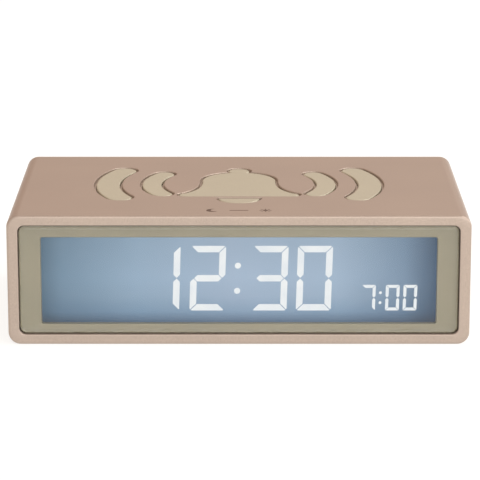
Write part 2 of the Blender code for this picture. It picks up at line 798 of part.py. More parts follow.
def rear_panel():
    """The back cover, with the door's recess, the control openings and four screw seats."""
    outline = rounded_rectangle(inset(OPENING_X, GAP), inset(OPENING_Z, GAP), INSERT_RADIUS)
    slider_room = 0.3 * MM
    slider_z = (KNOB_Z - 1.65 * MM - slider_room, KNOB_Z + 1.65 * MM + KNOB_TRAVEL + slider_room)
    screws = [(x, z) for x in (-SCREW_X, SCREW_X) for z in SCREW_Z]
    openings = [rectangle(mm(-37.9, 7.7), mm(7.1, 17.9)), rectangle(around(KNOB_X, 2.4 * MM), slider_z)]
    openings += [pill(place, (PILL[0] + 0.5 * MM, PILL[1] + 0.5 * MM)) for place in BUTTONS.values()]
    openings += [circle(place, 0.8 * MM, 12) for place in screws]
    slots = {10.7: 6.0, 12.1: 7.0, 13.5: 5.6}
    openings += [rectangle(around(x * MM, 0.7 * MM), around(MIDDLE, length * MM)) for x, length in slots.items()]
    panel = part(slab("rear_panel", [outline, *openings], PANEL_Y, upright=True), "pink_gold")
    outside = PANEL_Y[1] + MM
    cut(panel, box("door_recess", DOOR_RECESS_X, (DOOR_FLOOR, outside), DOOR_RECESS_Z))
    notch_z = (DOOR_RECESS_Z[1] - MM, DOOR_RECESS_Z[1] + MM)
    cut(panel, box("latch_notch", mm(-18.4, -11.6), (23.6 * MM, outside), notch_z))
    pin_room = 1.1 * MM
    pin_hole_ends = [(x, HINGE_Y, HINGE_Z) for x in (DOOR_RECESS_X[0] - pin_room, DOOR_RECESS_X[1] + pin_room)]
    cut(panel, rod("hinge_pin_holes", *pin_hole_ends, 0.55 * MM, 16))
    seat = PANEL_Y[1] - 1.1 * MM
    for number, (x, z) in enumerate(screws):
        cut(panel, rod(f"screw_seat_{number}", (x, seat, z), (x, outside, z), 1.35 * MM, 16))
    for number, (x, z) in enumerate(POSTS):
        post_end = KEY_BOARD_Y[1] + GAP
        join(panel, rod(f"board_post_{number}", (x, post_end, z), (x, PANEL_Y[0] + MM, z), 0.8 * MM, 12))


def battery_door():
    """A leaf that swings on two pins along its lower edge, held shut by a latch tongue."""
    x = inset(DOOR_RECESS_X, GAP)
    barrel = rod("battery_door", (x[0], HINGE_Y, HINGE_Z), (x[1], HINGE_Y, HINGE_Z), (DOOR_Y[1] - DOOR_Y[0]) / 2)
    door = part(barrel, "pink_gold")
    leaf_top = DOOR_RECESS_Z[1] - 0.25 * MM
    join(door, box("door_leaf", x, DOOR_Y, (HINGE_Z, leaf_top)))
    join(door, box("latch_tongue", mm(-18.0, -12.0), mm(23.9, 24.7), (leaf_top - MM, leaf_top + 0.85 * MM)))
    pin = 0.9 * MM
    join(door, rod("hinge_pins", (x[0] - pin, HINGE_Y, HINGE_Z), (x[1] + pin, HINGE_Y, HINGE_Z), 0.35 * MM, 12))


def rear_screws():
    """Four screws that hold the rear panel to the chassis."""
    head_radius, shank_radius, head, length = mm(1.2, 0.65, 0.9, 7.9)
    profile = (
        (0, 0),
        (head_radius * 0.8, 0),
        (head_radius, -head * 0.35),
        (head_radius, -head),
        (shank_radius, -head),
        (shank_radius, -length + shank_radius),
        (0, -length),
    )
    top = PANEL_Y[1] - 0.1 * MM
    names = ("lower_left", "upper_left", "lower_right", "upper_right")
    places = [(x, top, z) for x in (-SCREW_X, SCREW_X) for z in SCREW_Z]
    for name, place in zip(names, places):
        part(turned("rear_screw_" + name, profile, place, (-math.pi / 2, 0, 0), 16), "silver")


def build():
    clear_scene()
    outer_sleeve()
    symbol_plates()
    touch_electrodes()
    front_lens()
    front_bezel()
    display_layers()
    zebra_strips()
    display_holder()
    main_board()
    board_components()
    tilt_switch()
    chassis()
    batteries()
    battery_contacts()
    battery_wires()
    key_board()
    ribbon_cable()
    buzzer()
    for name, place in BUTTONS.items():
        push_button(name, place)
    slide_switch()
    rear_panel()
    battery_door()
    rear_screws()


build()
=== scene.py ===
"""Looks of the travel alarm clock: fine meshes, materials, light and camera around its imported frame."""

import json
import math

import bmesh
import bpy
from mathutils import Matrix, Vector


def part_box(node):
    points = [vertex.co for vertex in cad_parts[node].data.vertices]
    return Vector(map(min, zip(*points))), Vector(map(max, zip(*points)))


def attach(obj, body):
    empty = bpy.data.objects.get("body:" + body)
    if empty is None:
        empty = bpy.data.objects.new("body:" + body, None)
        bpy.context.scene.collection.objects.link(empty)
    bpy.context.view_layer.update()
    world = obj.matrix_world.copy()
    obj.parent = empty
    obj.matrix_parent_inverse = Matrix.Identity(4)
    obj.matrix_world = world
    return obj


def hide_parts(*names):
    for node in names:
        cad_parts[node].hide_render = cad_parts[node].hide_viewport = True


MM = 0.001
SHARP_ANGLE = math.radians(35)

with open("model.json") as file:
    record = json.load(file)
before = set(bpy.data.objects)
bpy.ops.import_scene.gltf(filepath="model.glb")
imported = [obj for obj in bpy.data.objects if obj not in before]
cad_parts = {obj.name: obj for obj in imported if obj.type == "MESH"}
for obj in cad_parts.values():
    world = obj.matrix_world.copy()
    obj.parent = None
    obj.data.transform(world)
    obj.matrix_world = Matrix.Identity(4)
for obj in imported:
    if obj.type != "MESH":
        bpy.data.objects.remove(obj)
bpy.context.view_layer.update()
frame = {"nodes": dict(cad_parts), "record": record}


# Numbers

def mm(*values):
    """Millimetres to metres."""
    return tuple(value * MM for value in values)


def mix(first, second, share):
    """The value at a share of the way from the first to the second."""
    return first + (second - first) * share


def colour(red, green, blue):
    """An sRGB colour, 0 to 255, as linear RGBA."""
    def linear(value):
        value /= 255
        return value / 12.92 if value <= 0.04045 else ((value + 0.055) / 1.055) ** 2.4
    return (linear(red), linear(green), linear(blue), 1.0)


# Outlines, as lists of (u, v)

def arc(centre, radius, start, end, steps):
    """Points along an arc, with both ends; angles in degrees."""
    points = []
    for step in range(steps + 1):
        angle = math.radians(mix(start, end, step / steps))
        points.append((centre[0] + radius * math.cos(angle), centre[1] + radius * math.sin(angle)))
    return points


def rounded_rectangle(half_u, half_v, radius, centre=(0, 0), steps=10):
    """A rectangle about centre, with round corners."""
    reach_u = half_u - radius
    reach_v = half_v - radius
    points = []
    for start, side_u, side_v in ((0, 1, 1), (90, -1, 1), (180, -1, -1), (270, 1, -1)):
        corner = (centre[0] + side_u * reach_u, centre[1] + side_v * reach_v)
        points += arc(corner, radius, start, start + 90, steps)
    return points


def pill(half_u, half_v, centre=(0, 0), steps=20):
    """A bar with full-round ends, longer along u."""
    reach = half_u - half_v
    right = arc((centre[0] + reach, centre[1]), half_v, -90, 90, steps)
    return right + arc((centre[0] - reach, centre[1]), half_v, 90, 270, steps)


def soften(outline, radius, steps=3):
    """The same polygon with small round corners."""
    points = []
    count = len(outline)
    for index, corner in enumerate(outline):
        corner = Vector(corner)
        before = Vector(outline[index - 1])
        after = Vector(outline[(index + 1) % count])
        first = corner + (before - corner).normalized() * radius
        last = corner + (after - corner).normalized() * radius
        for step in range(steps + 1):
            share = step / steps
            points.append(first.lerp(corner, share).lerp(corner.lerp(last, share), share))
    return [tuple(point) for point in points]


# Meshes

def new_piece(name, shape):
    """A shaded object from a bmesh."""
    bmesh.ops.recalc_face_normals(shape, faces=shape.faces)
    mesh = bpy.data.meshes.new(name)
    shape.to_mesh(mesh)
    shape.free()
    mesh.shade_smooth()
    mesh.set_sharp_from_angle(angle=SHARP_ANGLE)
    piece = bpy.data.objects.new(name, mesh)
    bpy.context.scene.collection.objects.link(piece)
    return piece


def add_loft(shape, rings, capped=True):
    """Faces between rings of equal length. Without caps the last ring joins the first."""
    rows = [[shape.verts.new(point) for point in ring] for ring in rings]
    pairs = list(zip(rows, rows[1:]))
    if capped:
        shape.faces.new(rows[0])
        shape.faces.new(rows[-1])
    else:
        pairs.append((rows[-1], rows[0]))
    for lower, upper in pairs:
        for index, start in enumerate(lower):
            following = (index + 1) % len(lower)
            shape.faces.new((start, lower[following], upper[following], upper[index]))


def loft(name, ring_sets, capped=True):
    """One object from several lofts."""
    shape = bmesh.new()
    for rings in ring_sets:
        add_loft(shape, rings, capped)
    return new_piece(name, shape)


def level(outline, z):
    """An outline as a ring at a height."""
    return [(u, v, z) for u, v in outline]


def upright(outline, y):
    """An outline as a ring in the plane of the display."""
    return [(u, y, v) for u, v in outline]


def quarter(radius, steps=5):
    """Rounded edge as (inset, drop) pairs, from the side to the face."""
    pairs = []
    for step in range(steps + 1):
        angle = math.pi / 2 * step / steps
        pairs.append((radius * (1 - math.cos(angle)), radius * (1 - math.sin(angle))))
    return pairs


def weight_normals(piece):
    """Keep large flat faces flat in shading beside their rounded edges."""
    modifier = piece.modifiers.new("Flat faces", "WEIGHTED_NORMAL")
    modifier.keep_sharp = True
    modifier.weight = 100


def bake_modifiers(piece):
    """Replace a piece's mesh by its evaluated one."""
    bpy.context.view_layer.update()
    evaluated = piece.evaluated_get(bpy.context.evaluated_depsgraph_get())
    mesh = bpy.data.meshes.new_from_object(evaluated)
    piece.modifiers.clear()
    piece.data = mesh


def carve(piece, *tools):
    """Cut tools out of a piece and remove them."""
    for tool in tools:
        modifier = piece.modifiers.new(tool.name, "BOOLEAN")
        modifier.operation = "DIFFERENCE"
        modifier.solver = "EXACT"
        modifier.object = tool
    bake_modifiers(piece)
    for tool in tools:
        bpy.data.objects.remove(tool)
    piece.data.set_sharp_from_angle(angle=SHARP_ANGLE)


def finish_piece(piece, material, slot, *nodes, body="root"):
    """Give a piece its material and its body, and hide the CAD nodes that it stands for; the slot is not
    used.
    """
    piece.data.materials.clear()
    piece.data.materials.append(material)
    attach(piece, body)
    if nodes:
        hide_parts(*nodes)


# Materials

class Nodes:
    """Short calls that add nodes to a tree."""

    def __init__(self, tree):
        self.tree = tree

    def add(self, kind, **inputs):
        """A node with inputs set or linked by name."""
        node = self.tree.nodes.new(kind)
        for key, value in inputs.items():
            self.put(node, key.replace("_", " "), value)
        return node

    def put(self, node, key, value):
        """Set an input, or link another node's output to it."""
        if isinstance(value, bpy.types.NodeSocket):
            self.tree.links.new(value, node.inputs[key])
        else:
            node.inputs[key].default_value = value

    def place(self):
        """Coordinates in the piece's own frame."""
        return self.add("ShaderNodeTexCoord").outputs["Object"]

    def noise(self, scale, detail=2.0, roughness=0.5, at=None):
        """Fractal noise, mostly between 0.3 and 0.7."""
        node = self.add("ShaderNodeTexNoise", Scale=scale, Detail=detail, Roughness=roughness)
        self.put(node, "Vector", at or self.place())
        return node.outputs["Fac"]

    def remap(self, value, low, high, to_low, to_high):
        """A value moved from one range to another and kept inside it."""
        node = self.add("ShaderNodeMapRange")
        self.put(node, "Value", value)
        limits = {"From Min": low, "From Max": high, "To Min": to_low, "To Max": to_high}
        for key, number in limits.items():
            node.inputs[key].default_value = number
        return node.outputs["Result"]

    def blend(self, share, first, second, kind="MIX"):
        """Two colours mixed, or multiplied, by a share."""
        node = self.add("ShaderNodeMix")
        node.data_type = "RGBA"
        node.blend_type = kind
        self.put(node, "Factor", share)
        self.put(node, 6, first)
        self.put(node, 7, second)
        return node.outputs[2]

    def ramp(self, value, stops):
        """A colour for each (position, colour) pair, blended between them."""
        node = self.add("ShaderNodeValToRGB")
        self.put(node, "Fac", value)
        elements = node.color_ramp.elements
        while len(elements) < len(stops):
            elements.new(0.5)
        for element, (position, shade) in zip(elements, stops):
            element.position = position
            element.color = shade
        return node.outputs["Color"]


class Look(Nodes):
    """A material with one Principled shader."""

    def __init__(self, name, **values):
        self.material = bpy.data.materials.new(name)
        self.material.use_nodes = True
        super().__init__(self.material.node_tree)
        self.shader = self.tree.nodes["Principled BSDF"]
        for key, value in values.items():
            self.shader.inputs[key.replace("_", " ")].default_value = value

    def bump(self, height, distance, strength=1.0):
        """Relief of a depth in metres, in the shading only."""
        node = self.add("ShaderNodeBump", Height=height, Distance=distance, Strength=strength)
        self.put(self.shader, "Normal", node.outputs["Normal"])


def shaded(shade, scale):
    """A colour with its three channels scaled, none above 1."""
    return tuple(min(channel * scale, 1.0) for channel in shade[:3]) + (1.0,)


def satin(name, shade, roughness=0.38, metallic=0.6, speckle=0.05):
    """Satin metallic lacquer: fine flakes, slow changes of tone and a faint orange peel."""
    flake_scale, tone_scale = 4200.0, 55.0
    look = Look(name, Metallic=metallic, Specular_IOR_Level=0.7)
    at = look.place()
    flakes = look.noise(flake_scale, 3.0, 0.7, at)
    tone = look.noise(tone_scale, 2.0, 0.5, at)
    spread = speckle * 2.4
    dark = shaded(shade, 1 - spread)
    light = shaded(shade, 1 + spread)
    fine = look.blend(look.remap(flakes, 0.3, 0.7, 0.0, 1.0), dark, light)
    dim, full = (0.965, 0.965, 0.97, 1), (1.0, 1.0, 1.0, 1)
    slow = look.blend(look.remap(tone, 0.35, 0.65, 0.0, 1.0), dim, full)
    look.put(look.shader, "Base Color", look.blend(1.0, fine, slow, "MULTIPLY"))
    look.put(look.shader, "Roughness", look.remap(flakes, 0.25, 0.75, roughness - 0.05, roughness + 0.06))
    look.bump(look.noise(flake_scale * 0.45, 2.0, 0.6, at), 0.004 * MM)
    return look.material


def moulded(name, shade, roughness=0.5):
    """Moulded plastic with a fine spark-eroded texture."""
    look = Look(name)
    at = look.place()
    texture = look.noise(2600.0, 3.0, 0.6, at)
    tone = look.remap(texture, 0.3, 0.7, 0.0, 1.0)
    look.put(look.shader, "Base Color", look.blend(tone, shaded(shade, 0.88), shade))
    look.put(look.shader, "Roughness", look.remap(texture, 0.3, 0.7, roughness - 0.06, roughness + 0.06))
    look.bump(texture, 0.006 * MM)
    return look.material


def plated(name, shade):
    """Plated sheet or wire with fine drawing marks."""
    look = Look(name, Metallic=1.0)
    stretch = (1.0, 1.0, 14.0)
    mapping = look.add("ShaderNodeMapping", Vector=look.place(), Scale=stretch)
    marks = look.noise(900.0, 4.0, 0.6, mapping.outputs["Vector"])
    tone = look.remap(marks, 0.3, 0.7, 0.0, 1.0)
    look.put(look.shader, "Base Color", look.blend(tone, shaded(shade, 0.8), shade))
    look.put(look.shader, "Roughness", look.remap(marks, 0.3, 0.7, 0.20, 0.38))
    look.bump(marks, 0.002 * MM)
    return look.material


def clear_plastic():
    """Polished acrylic, with the faintest unevenness of its tint."""
    look = Look("clear_lens", Roughness=0.0, IOR=1.49, Transmission_Weight=1.0)
    tint = look.remap(look.noise(150.0, 2.0, 0.5), 0.3, 0.7, 0.0, 1.0)
    tinted, clear = (0.955, 0.97, 0.965, 1), (0.985, 0.99, 0.985, 1)
    look.put(look.shader, "Base Color", look.blend(tint, tinted, clear))
    return look.material


def display_glow():
    """Backlit display: brightest at the top centre, falling off to the sides and the lower edge."""
    half_u, half_v, _, (_, middle) = APERTURE
    look = Look("display_glow", Base_Color=(0.004, 0.004, 0.004, 1), Roughness=0.5)
    look.shader.inputs["Specular IOR Level"].default_value = 0.0
    look.shader.inputs["Emission Strength"].default_value = 1.0
    at = look.add("ShaderNodeSeparateXYZ", Vector=look.place())
    across = look.remap(at.outputs["X"], -half_u, half_u, 0.0, 1.0)
    up = look.remap(at.outputs["Z"], middle - half_v, middle + half_v, 0.0, 1.0)
    # The darker ends of this ramp, the right one most, are partly the backlight's falloff and partly
    # painted shade of the aperture's edges.
    sideways = look.ramp(across, (
        (0.00, colour(70, 102, 124)),
        (0.05, colour(104, 134, 158)),
        (0.25, colour(142, 168, 192)),
        (0.48, colour(159, 179, 202)),
        (0.75, colour(155, 177, 200)),
        (0.92, colour(112, 138, 164)),
        (1.00, colour(38, 72, 102)),
    ))
    upwards = look.ramp(up, (
        (0.00, (0.20, 0.27, 0.34, 1)),
        (0.12, (0.60, 0.69, 0.75, 1)),
        (0.30, (0.90, 0.91, 0.92, 1)),
        (0.52, (1.00, 1.00, 1.00, 1)),
        (1.00, (0.86, 0.87, 0.87, 1)),
    ))
    cloud = look.remap(look.noise(120.0, 2.0, 0.5), 0.3, 0.7, 0.985, 1.015)
    glow = look.blend(1.0, sideways, upwards, "MULTIPLY")
    look.put(look.shader, "Emission Color", look.blend(1.0, glow, cloud, "MULTIPLY"))
    return look.material


def digit_glow():
    """Lit segments, near white with a trace of the blue behind them."""
    look = Look("digit_glow", Base_Color=colour(60, 62, 64), Roughness=0.5, Emission_Strength=1.0)
    cloud = look.remap(look.noise(300.0, 2.0, 0.5), 0.3, 0.7, 0.0, 1.0)
    blue, white = colour(218, 223, 228), colour(230, 232, 233)
    look.put(look.shader, "Emission Color", look.blend(cloud, blue, white))
    return look.material


def circuit_board():
    """Green solder mask over fine tracks and a copper pour."""
    look = Look("circuit_board", Roughness=0.35, Specular_IOR_Level=0.6)
    at = look.place()
    brick = look.add("ShaderNodeTexBrick", Vector=at, Scale=620.0, Mortar_Size=0.06)
    brick.inputs["Color1"].default_value = colour(24, 96, 58)
    brick.inputs["Color2"].default_value = colour(18, 78, 48)
    brick.inputs["Mortar"].default_value = colour(70, 140, 90)
    speck = look.remap(look.noise(2400.0, 2.0, 0.6, at), 0.3, 0.7, 0.85, 1.1)
    look.put(look.shader, "Base Color", look.blend(1.0, brick.outputs["Color"], speck, "MULTIPLY"))
    look.bump(brick.outputs["Fac"], 0.02 * MM, 0.6)
    return look.material


def cell_label(low, high):
    """A plain printed sleeve on a cell: slate blue, with bare metal and a pale band at the nub end."""
    look = Look("cell_label", Metallic=0.55, Roughness=0.3)
    at = look.place()
    along = look.remap(look.add("ShaderNodeSeparateXYZ", Vector=at).outputs["X"], low, high, 0.0, 1.0)
    metal, pale = colour(176, 178, 182), colour(206, 208, 206)
    band = look.ramp(along, (
        (0.0, metal),
        (0.03, metal),
        (0.032, pale),
        (0.16, pale),
        (0.162, colour(72, 94, 112)),
        (1.0, colour(66, 88, 106)),
    ))
    speck = look.remap(look.noise(1800.0, 2.0, 0.6, at), 0.3, 0.7, 0.92, 1.06)
    look.put(look.shader, "Base Color", look.blend(1.0, band, speck, "MULTIPLY"))
    look.bump(look.noise(700.0, 2.0, 0.5, at), 0.004 * MM)
    return look.material


def striped_rubber():
    """Conducting strip: black and grey layers side by side along X."""
    look = Look("striped_rubber", Roughness=0.7)
    wave = look.add("ShaderNodeTexWave", Vector=look.place(), Scale=900.0)
    stripes = look.blend(wave.outputs["Fac"], colour(26, 26, 28), colour(150, 152, 156))
    look.put(look.shader, "Base Color", stripes)
    look.bump(wave.outputs["Fac"], 0.01 * MM)
    return look.material


def ribbed_cable():
    """Flat cable with a ridge over each conductor."""
    look = Look("ribbon_cable", Roughness=0.45)
    shade = colour(190, 192, 196)
    wave = look.add("ShaderNodeTexWave", Vector=look.place(), Scale=500.0)
    wave.bands_direction = "Z"
    # The colour follows the ridges and is darker in the valleys between them: a painted shade.
    look.put(look.shader, "Base Color", look.blend(wave.outputs["Fac"], shaded(shade, 0.6), shade))
    look.bump(wave.outputs["Fac"], 0.05 * MM)
    return look.material


# Symbols, drawn with a margin that can be grown or shrunk

def crossing(distance, first, second):
    """Angle at the first circle between the line of centres and the point where two circles meet."""
    along = (distance ** 2 + first ** 2 - second ** 2) / (2 * distance)
    return math.degrees(math.acos(along / first))


def bell(grow):
    """The bell's body, crown and lip, grown by a margin."""
    shoulder, crown = mm(4.0, 12.4)
    waist, knob, lip = mm(7.2, 2.1, 1.2)
    lip_centre = mm(10.4, -8.4)
    flare_width, flare_height, lip_top = mm(4.0, 11.8, -7.0)
    body_radius = waist + grow
    crown_radius = knob + grow
    flare_steps = 20
    right = arc(lip_centre, lip + grow, -90, 60, 12)
    for step in range(flare_steps):
        v = mix(lip_top, shoulder, step / flare_steps)
        fall = (shoulder - v) / flare_height
        slope = 3 * flare_width * fall ** 2 / flare_height
        right.append((waist + flare_width * fall ** 3 + grow * math.hypot(1, slope), v))
    rise = crown - shoulder
    right += arc((0, shoulder), body_radius, 0, 90 - crossing(rise, body_radius, crown_radius), 24)
    crown_start = crossing(rise, crown_radius, body_radius) - 90
    right += arc((0, crown), crown_radius, crown_start, 90, 20)[1:]
    return right + [(-u, v) for u, v in reversed(right[:-1])]


def clapper(grow):
    """The lower half of a disc under the bell."""
    radius = 3.9 * MM + grow
    tilt = math.degrees(math.asin(grow / radius))
    return arc(mm(0, -11.4), radius, 180 - tilt, 360 + tilt, 40)


def wave(side, radius, half_width, half_angle):
    """A sound wave: part of a ring about the bell, with round ends."""
    centre = mm(0, 1.0)
    upper, lower = (arc(centre, radius, angle, angle, 1)[0] for angle in (half_angle, -half_angle))
    outline = arc(centre, radius + half_width, -half_angle, half_angle, 36)
    outline += arc(upper, half_width, half_angle, half_angle + 180, 18)[1:-1]
    outline += arc(centre, radius - half_width, half_angle, -half_angle, 36)
    outline += arc(lower, half_width, 180 - half_angle, 360 - half_angle, 18)[1:-1]
    return [(side * u, v) for u, v in outline]


def ringing_bell(grow):
    """The face that is up while the alarm is set."""
    outlines = [bell(grow), clapper(grow)]
    for side in (-1, 1):
        outlines.append(wave(side, 17.1 * MM, 1.9 * MM + grow, 30))
        outlines.append(wave(side, 25.7 * MM, 2.3 * MM + grow, 27))
    return outlines


def moon(grow, disc_centre, disc_radius, bite_centre, bite_radius, steps):
    """A crescent: a disc less a smaller disc."""
    disc = disc_radius + grow
    bite = bite_radius - grow
    shift = Vector(bite_centre) - Vector(disc_centre)
    heading = math.degrees(math.atan2(shift.y, shift.x))
    tip = crossing(shift.length, disc, bite)
    bite_tip = crossing(shift.length, bite, disc)
    outline = arc(disc_centre, disc, heading + tip, heading + 360 - tip, steps)
    outline += arc(bite_centre, bite, heading + 180 + bite_tip, heading + 180 - bite_tip, steps)[1:-1]
    return outline


def crescent_moon(grow):
    """The face that is up while the alarm is off, mirrored because it is read from below."""
    outlines = [moon(grow, mm(-1.5, 0.0), 13.5 * MM, mm(5.0, 3.2), 11.0 * MM, 60)]
    for centre, radius in ((mm(7.6, 4.2), 2.4 * MM), (mm(14.6, -4.6), 1.7 * MM)):
        outlines.append(arc(centre, radius + grow, 0, 360, 40)[:-1])
    return [[(-u, v) for u, v in outline] for outline in outlines]


SYMBOLS = {"top": ringing_bell, "bottom": crescent_moon}
SYMBOL_MOAT = 0.45 * MM


# Pieces

SLEEVE_LOW, SLEEVE_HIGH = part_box("outer_sleeve")
MIDDLE = (SLEEVE_LOW.z + SLEEVE_HIGH.z) / 2
FRONT = SLEEVE_LOW.y
BACK = SLEEVE_HIGH.y


def on_side(side, z):
    """A height measured for the top face, turned over for the bottom one."""
    return z if side == "top" else SLEEVE_LOW.z + SLEEVE_HIGH.z - z


def sleeve_section(depth):
    """Sleeve outline at a depth into its wall: 0 is the outer surface and 1 the inner one."""
    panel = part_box("rear_panel")[1]
    fit, outer_corner, inner_corner = mm(0.3, 2.3, 1.25)
    half_x = mix(SLEEVE_HIGH.x, panel.x + fit, depth)
    half_z = mix(SLEEVE_HIGH.z - MIDDLE, panel.z + fit - MIDDLE, depth)
    return rounded_rectangle(half_x, half_z, mix(outer_corner, inner_corner, depth), (0, MIDDLE), 14)


def symbol_lofts(side, outline_of, profile):
    """For each outline of a symbol, its rings along a profile of (grow, height) pairs."""
    return [
        [level(outline_of(grow)[index], on_side(side, z)) for grow, z in profile]
        for index in range(len(outline_of(0.0)))
    ]


def window_cutter(side, outline_of):
    """Cutter for the symbol's windows: a close fit below, a shallow moat above and a round lip."""
    lip, fit, moat = mm(0.2, 0.08, 0.6)
    through, outside = mm(2.6, 0.3)
    slope, corner = mm(0.02, 0.1)
    face = SLEEVE_HIGH.z
    profile = [(fit, face - through), (fit, face - moat - slope), (SYMBOL_MOAT - fit, face - moat)]
    profile += [(SYMBOL_MOAT, face - moat + corner), (SYMBOL_MOAT, face - lip)]
    for angle in (0.35, 0.7, 1.05, 1.3):
        profile.append((SYMBOL_MOAT + lip * (1 - math.cos(angle)), face - lip + lip * math.sin(angle)))
    profile.append((SYMBOL_MOAT + lip, face + outside))
    return loft(side + "_windows", symbol_lofts(side, outline_of, profile))


def sleeve(material):
    """Rectangular tube with rounded edges and the windows of both symbols."""
    wall = 2.0 * MM
    outer_edge = 0.5 * MM
    lip_edge = 0.22 * MM
    stations = []
    for end, inwards in ((FRONT, 1), (BACK, -1)):
        rim = [(inset / wall, end + inwards * drop) for inset, drop in quarter(outer_edge)]
        rim += [(1 - inset / wall, end + inwards * drop) for inset, drop in reversed(quarter(lip_edge, 4))]
        stations += rim if end == FRONT else rim[::-1]
    rings = [upright(sleeve_section(depth), y) for depth, y in stations]
    piece = loft("sleeve_shell", [rings], capped=False)
    carve(piece, *(window_cutter(side, outline_of) for side, outline_of in SYMBOLS.items()))
    weight_normals(piece)
    finish_piece(piece, material, "sleeve_finish", "outer_sleeve")


def symbol_plate(side, outline_of, material):
    """The inlaid symbol with softly rounded edges, and the carrier below it."""
    node = side + "_symbol_plate"
    low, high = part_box(node)
    face = high.z if side == "top" else on_side(side, low.z)
    edge = 0.26 * MM
    carrier_top = face - 2.0 * MM
    profile = [(0.0, carrier_top - 0.2 * MM)]
    profile += [(-inset, face - drop) for inset, drop in quarter(edge)]
    islands = loft(side + "_symbol", symbol_lofts(side, outline_of, profile))
    weight_normals(islands)
    finish_piece(islands, material, "symbol_finish", node)
    thickness = 0.8 * MM
    centre = (0, (low.y + high.y) / 2)
    outline = rounded_rectangle(high.x, (high.y - low.y) / 2, 1.5 * MM, centre, 8)
    rings = [level(outline, on_side(side, z)) for z in (carrier_top - thickness, carrier_top)]
    carrier = loft(side + "_symbol_carrier", [rings])
    finish_piece(carrier, material, "symbol_finish", node)


def front_outline(node, grow):
    """The outline of a plate inside the front rim, with a margin."""
    low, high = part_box(node)
    half_u, half_v = high.x + grow, (high.z - low.z) / 2 + grow
    return rounded_rectangle(half_u, half_v, 1.1 * MM + grow, (0, (low.z + high.z) / 2))


def lens(material):
    """A thick clear plate with a round front edge."""
    low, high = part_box("front_lens")
    edge = 0.6 * MM
    rings = [upright(front_outline("front_lens", 0.0), high.y)]
    for inset, drop in quarter(edge):
        rings.append(upright(front_outline("front_lens", -inset), low.y + drop))
    piece = loft("lens", [rings])
    weight_normals(piece)
    piece.visible_shadow = False
    finish_piece(piece, material, "lens_clear", "front_lens")


DISPLAY_DROP = 0.45 * MM
APERTURE = (37.25 * MM, 8.4 * MM, 0.4 * MM, (0, MIDDLE - DISPLAY_DROP))


def bezel(material):
    """The mask behind the lens, with a thin wall round the lens's sides and the display's opening."""
    low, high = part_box("front_bezel")
    wall_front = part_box("front_lens")[0].y + 0.5 * MM
    outside, inside, tip = mm(0.18, 0.08, 0.04)
    profile = ((outside, high.y), (outside, wall_front + tip), (outside - tip, wall_front))
    profile += ((inside + tip, wall_front), (inside, wall_front + tip), (inside, low.y))
    rings = [upright(front_outline("front_bezel", grow), y) for grow, y in profile]
    half_u, half_v, radius, centre = APERTURE
    for inset, drop in reversed(quarter(0.18 * MM, 3)):
        outline = rounded_rectangle(half_u + inset, half_v + inset, radius + inset, centre)
        rings.append(upright(outline, low.y + drop))
    rings.append(upright(rounded_rectangle(half_u, half_v, radius, centre), high.y))
    piece = loft("display_bezel", [rings], capped=False)
    weight_normals(piece)
    finish_piece(piece, material, "bezel_finish", "front_bezel")


# Digits

SEGMENTS = {
    "0": "abcdef", "1": "bc", "2": "abged", "3": "abgcd", "4": "fgbc",
    "5": "afgcd", "6": "afgedc", "7": "abc", "8": "abcdefg", "9": "abcdfg",
}


def segment_outlines(width, height, stroke, gap):
    """The seven segments of a digit, mitred at its corners and pointed at its waist."""
    half = gap / 2
    slip = half * math.sqrt(2)
    chamfer = 0.28 * stroke
    nick = chamfer / 2
    skew = half / math.sqrt(2)
    waist = height / 2
    top = [
        (nick + skew, height - nick + skew),
        (chamfer, height),
        (width - chamfer, height),
        (width - nick - skew, height - nick + skew),
        (width - stroke - slip, height - stroke),
        (stroke + slip, height - stroke),
    ]
    upper_right = [
        (width - nick + skew, height - nick - skew),
        (width, height - chamfer),
        (width, waist + stroke / 2 + half),
        (width - stroke / 2, waist + half),
        (width - stroke, waist + stroke / 2 + half),
        (width - stroke, height - stroke - slip),
    ]
    middle = [
        (stroke / 2 + slip, waist),
        (stroke + slip, waist + stroke / 2),
        (width - stroke - slip, waist + stroke / 2),
        (width - stroke / 2 - slip, waist),
        (width - stroke - slip, waist - stroke / 2),
        (stroke + slip, waist - stroke / 2),
    ]

    def across(outline):
        return [(width - u, v) for u, v in outline]

    def down(outline):
        return [(u, height - v) for u, v in outline]

    return {
        "a": top, "b": upper_right, "c": down(upper_right), "d": down(top),
        "e": down(across(upper_right)), "f": across(upper_right), "g": middle,
    }


def digit_group(group, text, places, size, dot, material):
    """A row of lit digits; size is a digit's width and height, its stroke and the gap in its mitres."""
    film_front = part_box("front_polarizer")[0].y
    span = (film_front - 0.05 * MM, film_front - 0.01 * MM)
    baseline = 5.9 * MM
    slant = math.tan(math.radians(1.7))
    width, height, stroke, gap = size
    corner = 0.07 * stroke
    dot_heights = (0.305 * height, 0.695 * height)
    shapes = segment_outlines(width, height, stroke, gap)
    for number, (character, left) in enumerate(zip(text, places)):
        if character == ":":
            outlines = [arc((0, dot_height), dot / 2, 0, 360, 28)[:-1] for dot_height in dot_heights]
        else:
            outlines = [soften(shapes[segment], corner) for segment in SEGMENTS[character]]
        slanted = [[(left + u + v * slant, baseline + v) for u, v in outline] for outline in outlines]
        rings = [[upright(outline, y) for y in span] for outline in slanted]
        finish_piece(loft(f"{group}_digit_{number}", rings), material, "display_glass")


def digits(material):
    """The time and the alarm time, as lit segments on the front of the display."""
    time_places = mm(-17.95, -9.38, -0.46, 2.38, 10.74)
    digit_group("time", "12:30", time_places, mm(6.62, 12.6, 1.24, 0.15), 1.17 * MM, material)
    alarm_places = mm(23.10, 26.63, 27.62, 30.95)
    digit_group("alarm", "7:00", alarm_places, mm(2.62, 5.0, 0.58, 0.08), 0.56 * MM, material)


# Marks on the faces

